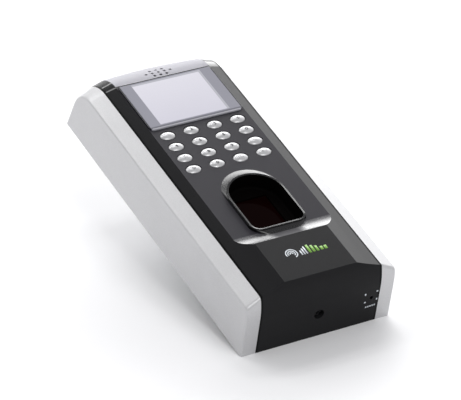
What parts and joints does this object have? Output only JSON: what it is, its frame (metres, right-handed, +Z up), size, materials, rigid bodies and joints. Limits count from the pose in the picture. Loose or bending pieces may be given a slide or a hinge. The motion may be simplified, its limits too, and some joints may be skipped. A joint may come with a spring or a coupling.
{
  "type": "fingerprint scanner terminal",
  "caption": "Upright wall terminal with a slanted casing, display window, oval-key pad, arched finger recess over a sensor, and a steel wall plate behind.",
  "frame": {"origin": "middle of the wall face, halfway up the casing and midway between its sides", "axes": "+Z up, front facing -Y, wall plane at Y = 0, +X to the right as seen from the front"},
  "size_m": [0.08, 0.0349, 0.1845],
  "materials": {
    "silver_paint": "satin metallic paint",
    "black_plastic": "gloss",
    "smoked_window": "clear cover with a printed grey border",
    "key_silver": "satin silver with printed symbols",
    "dark_plastic": "fine grain",
    "clear_glass": "polished",
    "display_glass": "polished",
    "light_guide": "satin",
    "bare_steel": "rolled, zinc plated",
    "tin_plate": "tin plated",
    "circuit_board": "solder mask",
    "silicone": "matt",
    "foam": "matt",
    "adhesive": "matt",
    "film": "satin",
    "chip": "matt",
    "relay_case": "gloss",
    "terminal_green": "satin",
    "lamp": "clear",
    "cell_steel": "polished",
    "screw_steel": "zinc plated",
    "black_screw": "blackened",
    "cone_paper": "matt"
  },
  "bodies": {
    "terminal": {"front_housing": "black_plastic", "side_cap_left": "silver_paint", "side_cap_right": "silver_paint", "top_trim": "silver_paint", "finger_guide": "black_plastic", "display_window": "smoked_window", "window_tape": "adhesive", "display_frame": "tin_plate", "display_panel": "display_glass", "display_backlight": "light_guide", "display_ribbon": "film", "keypad_mat": "silicone", "keypad_board": "circuit_board", "keypad_screws": "screw_steel", "sensor_prism": "clear_glass", "sensor_holder": "dark_plastic", "sensor_lens": "dark_plastic", "sensor_board": "circuit_board", "sensor_lamps": "lamp", "sensor_screws": "screw_steel", "speaker_gasket": "foam", "speaker": "cone_paper", "main_board": "circuit_board", "board_screws": "screw_steel", "processor_chips": "chip", "shield_can": "tin_plate", "relay": "relay_case", "battery_holder": "dark_plastic", "clock_battery": "cell_steel", "buzzer": "dark_plastic", "wiring_terminals": "terminal_green", "network_jack": "dark_plastic", "reset_switch": "dark_plastic", "tamper_switch": "dark_plastic", "rear_cover": "dark_plastic", "cable_seal": "foam", "wall_plate": "bare_steel", "cover_screws": "screw_steel", "security_screw": "black_screw"},
    "key_01_cap": {"key_01": "key_silver"},
    "key_02_cap": {"key_02": "key_silver"},
    "key_03_cap": {"key_03": "key_silver"},
    "key_04_cap": {"key_04": "key_silver"},
    "key_05_cap": {"key_05": "key_silver"},
    "key_06_cap": {"key_06": "key_silver"},
    "key_07_cap": {"key_07": "key_silver"},
    "key_08_cap": {"key_08": "key_silver"},
    "key_09_cap": {"key_09": "key_silver"},
    "key_10_cap": {"key_10": "key_silver"},
    "key_11_cap": {"key_11": "key_silver"},
    "key_12_cap": {"key_12": "key_silver"},
    "key_13_cap": {"key_13": "key_silver"},
    "key_14_cap": {"key_14": "key_silver"},
    "key_15_cap": {"key_15": "key_silver"},
    "key_16_cap": {"key_16": "key_silver"},
    "reset_stem": {"reset_button": "dark_plastic"},
    "tamper_stem": {"tamper_plunger": "light_guide"}
  },
  "joints": [
    {"name": "key_01_press", "type": "slide", "parent": "terminal", "child": "key_01_cap", "axis": [0, 1, 0], "range_m": [0, 0.0007], "stiffness_N_per_m": 900},
    {"name": "key_02_press", "type": "slide", "parent": "terminal", "child": "key_02_cap", "axis": [0, 1, 0], "range_m": [0, 0.0007], "stiffness_N_per_m": 900},
    {"name": "key_03_press", "type": "slide", "parent": "terminal", "child": "key_03_cap", "axis": [0, 1, 0], "range_m": [0, 0.0007], "stiffness_N_per_m": 900},
    {"name": "key_04_press", "type": "slide", "parent": "terminal", "child": "key_04_cap", "axis": [0, 1, 0], "range_m": [0, 0.0007], "stiffness_N_per_m": 900},
    {"name": "key_05_press", "type": "slide", "parent": "terminal", "child": "key_05_cap", "axis": [0, 1, 0], "range_m": [0, 0.0007], "stiffness_N_per_m": 900},
    {"name": "key_06_press", "type": "slide", "parent": "terminal", "child": "key_06_cap", "axis": [0, 1, 0], "range_m": [0, 0.0007], "stiffness_N_per_m": 900},
    {"name": "key_07_press", "type": "slide", "parent": "terminal", "child": "key_07_cap", "axis": [0, 1, 0], "range_m": [0, 0.0007], "stiffness_N_per_m": 900},
    {"name": "key_08_press", "type": "slide", "parent": "terminal", "child": "key_08_cap", "axis": [0, 1, 0], "range_m": [0, 0.0007], "stiffness_N_per_m": 900},
    {"name": "key_09_press", "type": "slide", "parent": "terminal", "child": "key_09_cap", "axis": [0, 1, 0], "range_m": [0, 0.0007], "stiffness_N_per_m": 900},
    {"name": "key_10_press", "type": "slide", "parent": "terminal", "child": "key_10_cap", "axis": [0, 1, 0], "range_m": [0, 0.0007], "stiffness_N_per_m": 900},
    {"name": "key_11_press", "type": "slide", "parent": "terminal", "child": "key_11_cap", "axis": [0, 1, 0], "range_m": [0, 0.0007], "stiffness_N_per_m": 900},
    {"name": "key_12_press", "type": "slide", "parent": "terminal", "child": "key_12_cap", "axis": [0, 1, 0], "range_m": [0, 0.0007], "stiffness_N_per_m": 900},
    {"name": "key_13_press", "type": "slide", "parent": "terminal", "child": "key_13_cap", "axis": [0, 1, 0], "range_m": [0, 0.0007], "stiffness_N_per_m": 900},
    {"name": "key_14_press", "type": "slide", "parent": "terminal", "child": "key_14_cap", "axis": [0, 1, 0], "range_m": [0, 0.0007], "stiffness_N_per_m": 900},
    {"name": "key_15_press", "type": "slide", "parent": "terminal", "child": "key_15_cap", "axis": [0, 1, 0], "range_m": [0, 0.0007], "stiffness_N_per_m": 900},
    {"name": "key_16_press", "type": "slide", "parent": "terminal", "child": "key_16_cap", "axis": [0, 1, 0], "range_m": [0, 0.0007], "stiffness_N_per_m": 900},
    {"name": "reset_press", "type": "slide", "parent": "terminal", "child": "reset_stem", "axis": [0, 0, 1], "range_m": [0, 0.0003], "stiffness_N_per_m": 1500},
    {"name": "tamper_press", "type": "slide", "parent": "terminal", "child": "tamper_stem", "axis": [0, -1, 0], "range_m": [0, 0.0008], "stiffness_N_per_m": 300}
  ]
}
